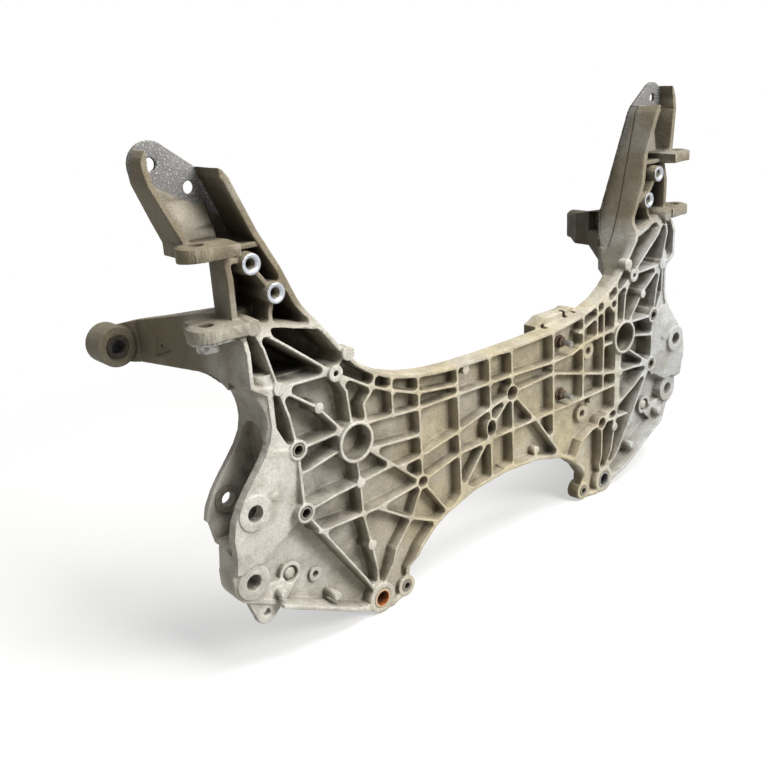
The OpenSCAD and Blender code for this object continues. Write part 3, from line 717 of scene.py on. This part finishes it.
@dataclass
class CastBody:
    """The casting with the rounded edges and corner fillets that a poured part has."""

    node: bpy.types.Object
    finish: CastAlloy

    voxel_mm: float = 1.0
    smooth_factor: float = 0.5
    smooth_passes: int = 2
    triangle_budget: int = 190_000

    # heights of the rim and the arch on the mid plane with their outward direction, and how far the mend reaches
    middle_edges_mm: tuple[tuple[float, int], ...] = ((226.4, 1), (89.0, -1))
    middle_half_mm: int = 5
    middle_depth_mm: float = 7.0

    # how much thicker the ribs are on each side, by depth behind the rib face
    draft_depths_mm: tuple[float, ...] = (-2.0, 0.0, 20.0, 26.0, 34.0)
    draft_mm: tuple[float, ...] = (0.0, -0.75, 0.5, 0.4, 0.0)

    # the inner wall of a horn: which points belong to it, its lean behind the parting line, and the line's depth
    wall_facing: float = -0.6
    wall_across_mm: float = 300.0
    wall_foot_mm: float = 12.0
    wall_lean: float = 0.14
    seam_mm: float = 0.7

    # conical mouth of a threaded boss
    mouth_r_mm: float = 6.2
    mouth_skin_mm: float = 2.5

    def build(self) -> bpy.types.Object:
        """Rounds a copy of the solid and gives it the cast finish.

        Returns:
            The piece that stands for the casting.
        """
        body = bpy.data.objects.new("cast_body", self.node.data.copy())
        bpy.context.scene.collection.objects.link(body)
        choose(body)
        self.round_edges(body)
        self.close_middle(body)
        self.draft_walls(body)
        self.part_horns(body)
        self.sink_threads(body)
        self.thin_out(body)
        body.data.materials.clear()
        body.data.materials.append(self.finish.material())
        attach(body, BODY)
        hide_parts(self.node["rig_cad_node"])
        return body

    def round_edges(self, body: bpy.types.Object) -> None:
        """Melts the sharp edges to about a voxel's radius.

        Args:
            body: the copy of the casting.
        """
        bpy.ops.object.mode_set(mode="EDIT")
        bpy.ops.mesh.select_all(action="SELECT")
        bpy.ops.mesh.remove_doubles(threshold=WELD_MM * MM)
        bpy.ops.object.mode_set(mode="OBJECT")
        body.data.remesh_voxel_size = self.voxel_mm * MM
        body.data.remesh_voxel_adaptivity = 0.0
        bpy.ops.object.voxel_remesh()
        smooth = body.modifiers.new("smooth", "SMOOTH")
        smooth.factor = self.smooth_factor
        smooth.iterations = self.smooth_passes
        apply_all(body)

    def places_of(self, body: bpy.types.Object) -> np.ndarray:
        """Reads the mesh's points.

        Args:
            body: the copy of the casting.

        Returns:
            Rows of x, y and z in metres.
        """
        places = np.empty(len(body.data.vertices) * 3, dtype=np.float32)
        body.data.vertices.foreach_get("co", places)
        return places.reshape(-1, 3)

    def normals_of(self, body: bpy.types.Object) -> np.ndarray:
        """Reads which way the mesh's points face.

        Args:
            body: the copy of the casting.

        Returns:
            Rows of x, y and z.
        """
        normals = np.empty(len(body.data.vertices) * 3, dtype=np.float32)
        body.data.vertex_normals.foreach_get("vector", normals)
        return normals.reshape(-1, 3)

    def move(self, body: bpy.types.Object, places: np.ndarray) -> None:
        """Writes the mesh's points back.

        Args:
            body: the copy of the casting.
            places: rows of x, y and z in metres.
        """
        body.data.vertices.foreach_set("co", places.ravel())
        body.data.update()

    def close_middle(self, body: bpy.types.Object) -> None:
        """Fills the small notches that the mirrored halves leave in the rim and the arch on the mid plane.

        Args:
            body: the copy of the casting.
        """
        places = self.places_of(body)
        across_mm = np.abs(places[:, 0]) / MM
        strips = np.rint(across_mm).astype(int)
        steps = range(self.middle_half_mm + 1)
        for edge_mm, outward in self.middle_edges_mm:
            beyond_mm = (places[:, 2] / MM - edge_mm) * outward
            near = np.abs(beyond_mm) < self.middle_depth_mm
            reach_mm = [beyond_mm[near & (strips == i)].max() for i in steps]
            short_mm = np.interp(across_mm, steps, reach_mm[-1] - np.array(reach_mm))
            share = np.interp(np.abs(beyond_mm), (0.5 * self.middle_depth_mm, self.middle_depth_mm), (1.0, 0.0))
            places[:, 2] += outward * short_mm * share * MM
        self.move(body, places)

    def draft_walls(self, body: bpy.types.Object) -> None:
        """Makes the ribs thinner at the crest and thicker at the root, so that they would leave a mould.

        Args:
            body: the copy of the casting.
        """
        places = self.places_of(body)
        normals = self.normals_of(body)
        depth_mm = places[:, 1] / MM - RIB_FACE_MM
        grow_mm = np.interp(depth_mm, self.draft_depths_mm, self.draft_mm)
        places[:, 0] += normals[:, 0] * grow_mm * MM
        places[:, 2] += normals[:, 2] * grow_mm * MM
        self.move(body, places)

    def part_horns(self, body: bpy.types.Object) -> None:
        """Leans the inner wall of each horn away from the parting line, and sinks the line a little.

        Args:
            body: the copy of the casting.
        """
        places = self.places_of(body)
        side = np.sign(places[:, 0])
        across_mm = np.abs(places[:, 0]) / MM
        height_mm = places[:, 2] / MM - FRONT_LINE_MM
        behind_mm = places[:, 1] / MM - RIB_FACE_MM - SEAM_FOOT_MM - SEAM_RISE * height_mm
        inward = self.normals_of(body)[:, 0] * side < self.wall_facing
        wall = inward & (across_mm < self.wall_across_mm) & (height_mm > self.wall_foot_mm)
        sunk_mm = np.clip(behind_mm, 0.0, None) * self.wall_lean + self.seam_mm * np.exp(-behind_mm ** 2)
        places[:, 0] += np.where(wall, side * sunk_mm * MM, 0.0)
        self.move(body, places)

    def sink_threads(self, body: bpy.types.Object) -> None:
        """Gives the threaded horn bosses a conical mouth.

        Args:
            body: the copy of the casting.
        """
        places = self.places_of(body)
        depth_mm = places[:, 1] / MM - RIB_FACE_MM
        for spot in self.finish.spots:
            if spot.worn is not Worn.MACHINED:
                continue
            off_x = np.abs(places[:, 0]) / MM - spot.x_mm
            off_z = places[:, 2] / MM - FRONT_LINE_MM - spot.z_mm
            sunk_mm = np.clip(self.mouth_r_mm - np.hypot(off_x, off_z), 0.0, None)
            sunk_mm[np.abs(depth_mm - spot.face_mm) > self.mouth_skin_mm] = 0.0
            places[:, 1] += sunk_mm * MM
        self.move(body, places)

    def thin_out(self, body: bpy.types.Object) -> None:
        """Thins the mesh to its triangle budget and smooths its shading.

        Args:
            body: the copy of the casting.
        """
        count = sum(len(p.vertices) - 2 for p in body.data.polygons)
        decimate = body.modifiers.new("thin", "DECIMATE")
        decimate.ratio = min(1.0, self.triangle_budget / count)
        apply_all(body)
        bpy.ops.object.shade_smooth()
        log.info("cast_body: %d triangles from %d", len(body.data.polygons), count)


@dataclass
class Hardware:
    """The pressed and screwed steel pieces."""

    nodes: dict[str, bpy.types.Object]
    slots: dict[str, str]
    edge_mm: float = 0.35
    edge_segments: int = 2
    edge_angle_deg: float = 40.0

    def build(self) -> None:
        """Breaks the edges of each piece and gives it its finish."""
        slot_finishes = {slot: steel.material() for slot, steel in STEELS.items()}
        own_finishes = {key: steel.material() for key, steel in PIECE_STEELS.items()}
        for name, node in self.nodes.items():
            slot = Slot(self.slots[name])
            if slot is Slot.CAST:
                continue
            finish = next((own for key, own in own_finishes.items() if key in name), slot_finishes[slot])
            self.dress(node, finish)
            log.info("%s: %s", name, finish.name)

    def dress(self, node: bpy.types.Object, finish: bpy.types.Material) -> None:
        """Gives one piece broken edges and its steel.

        Args:
            node: the piece's object.
            finish: the steel that it is made of.
        """
        weld = node.modifiers.new("weld", "WELD")
        weld.merge_threshold = WELD_MM * MM
        bevel = node.modifiers.new("broken_edges", "BEVEL")
        bevel.width = self.edge_mm * MM
        bevel.segments = self.edge_segments
        bevel.limit_method = "ANGLE"
        bevel.angle_limit = math.radians(self.edge_angle_deg)
        node.data.materials.clear()
        node.data.materials.append(finish)


@dataclass(frozen=True)
class Lamp:
    """A square soft lamp aimed at the object."""

    name: str
    place_m: tuple[float, float, float]
    size_m: float
    watts: float


@dataclass
class Studio:
    """Pale floor, soft lamps and the camera."""

    target: Vector

    # the floor is seen paler than it reflects, and fades to white away from the object
    floor_half_m: float = 12.0
    floor_seen: Film = Film("#F4F3F0")
    floor_bounce: str = "#A3A19C"
    fade_m: Band = (0.25, 0.9)
    fade_share: Band = (0.5, 1.0)

    sky_strength: float = 0.17
    lamps: tuple[Lamp, ...] = (
        Lamp("key", (0.75, -2.45, 1.75), 1.2, 84.0),
        Lamp("top", (0.3, -0.95, 2.6), 1.3, 74.0),
        Lamp("fill", (-2.2, -1.2, 0.9), 1.8, 5.0),
    )

    camera_mm: tuple[float, float, float] = (-675.5, -693.2, 514.4)
    azimuth_deg: float = 40.24
    elevation_deg: float = 19.46
    roll_deg: float = -3.64
    lens_mm: float = 43.77
    sensor_mm: float = 36.0
    nearest_m: float = 0.01

    def build(self) -> None:
        """Sets up the floor, the lamps, the sky and the camera."""
        self.floor()
        self.sky()
        for lamp in self.lamps:
            self.hang(lamp)
        self.camera()

    def seen(self, f: Finish) -> Socket:
        """Tells the rays that show a background from those that only light.

        Args:
            f: the finish under construction.

        Returns:
            1 for a ray that shows the background.
        """
        seen = f.add(Node.MATH, f.add(Node.RAYS, out="Is Camera Ray"), f.add(Node.RAYS, out="Is Glossy Ray"), **EITHER)
        return f.add(Node.MATH, seen, f.add(Node.RAYS, out="Is Transmission Ray"), **EITHER)

    def floor(self) -> None:
        """Lays the floor."""
        bpy.ops.object.select_all(action="DESELECT")
        bpy.ops.mesh.primitive_plane_add(size=2 * self.floor_half_m, location=(0, 0, 0))
        floor = bpy.context.object
        floor.name = "floor"
        paint = bpy.data.materials.new("pale_floor")
        f = Finish.of(paint)
        seen = self.seen(f)
        away = f.add(Node.VECTOR, f.add(Node.PLACE, out="Object"), out="Value", operation="LENGTH")
        share = f.add(Node.MATH, seen, f.add(Node.RANGE, away, *self.fade_m, *self.fade_share, **SOFT), **TIMES)
        near = f.add(Node.DIFFUSE, f.coat(linear(self.floor_bounce), self.floor_seen, seen))
        far = f.add(Node.GLOW, WHITE, 1.0)
        f.add(Node.OUTPUT, f.add(Node.BLEND, share, near, far))
        floor.data.materials.append(paint)
        floor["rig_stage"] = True

    def sky(self) -> None:
        """Lights the scene evenly from a pale sky that shows as white."""
        world = bpy.data.worlds.new("studio")
        f = Finish.of(world)
        dim = f.add(Node.SKY, WHITE, self.sky_strength)
        white = f.add(Node.SKY, WHITE, 1.0)
        f.add(Node.SKY_OUTPUT, f.add(Node.BLEND, self.seen(f), dim, white))
        bpy.context.scene.world = world

    def hang(self, lamp: Lamp) -> None:
        """Hangs one lamp and aims it at the object.

        Args:
            lamp: the lamp.
        """
        data = bpy.data.lights.new(lamp.name, "AREA")
        data.size = lamp.size_m
        data.energy = lamp.watts
        holder = bpy.data.objects.new(lamp.name, data)
        bpy.context.scene.collection.objects.link(holder)
        holder.location = lamp.place_m
        holder.rotation_euler = (self.target - Vector(lamp.place_m)).to_track_quat("-Z", "Y").to_euler()

    def camera(self) -> None:
        """Sets the camera where the photograph was taken from."""
        data = bpy.data.cameras.new("camera")
        data.lens = self.lens_mm
        data.sensor_width = self.sensor_mm
        data.clip_start = self.nearest_m
        camera = bpy.data.objects.new("camera", data)
        bpy.context.scene.collection.objects.link(camera)
        turn = (
            Matrix.Rotation(-math.radians(self.azimuth_deg), 4, "Z")
            @ Matrix.Rotation(math.radians(90 - self.elevation_deg), 4, "X")
            @ Matrix.Rotation(math.radians(self.roll_deg), 4, "Z")
        )
        camera.matrix_world = Matrix.Translation(Vector(self.camera_mm) * MM) @ turn
        bpy.context.scene.camera = camera


def main() -> None:
    """Builds the pieces in order."""
    logging.basicConfig(level=logging.INFO)
    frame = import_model()
    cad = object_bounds()
    slots = {row["node"]: row["material_slot"] for row in frame["record"]["subparts"]}
    CastBody(frame["nodes"]["casting"], CastAlloy()).build()
    Hardware(frame["nodes"], slots).build()
    Studio((cad[0] + cad[1]) / 2).build()
    bpy.context.scene.view_settings.view_transform = "Standard"


if __name__ == "__main__":
    main()
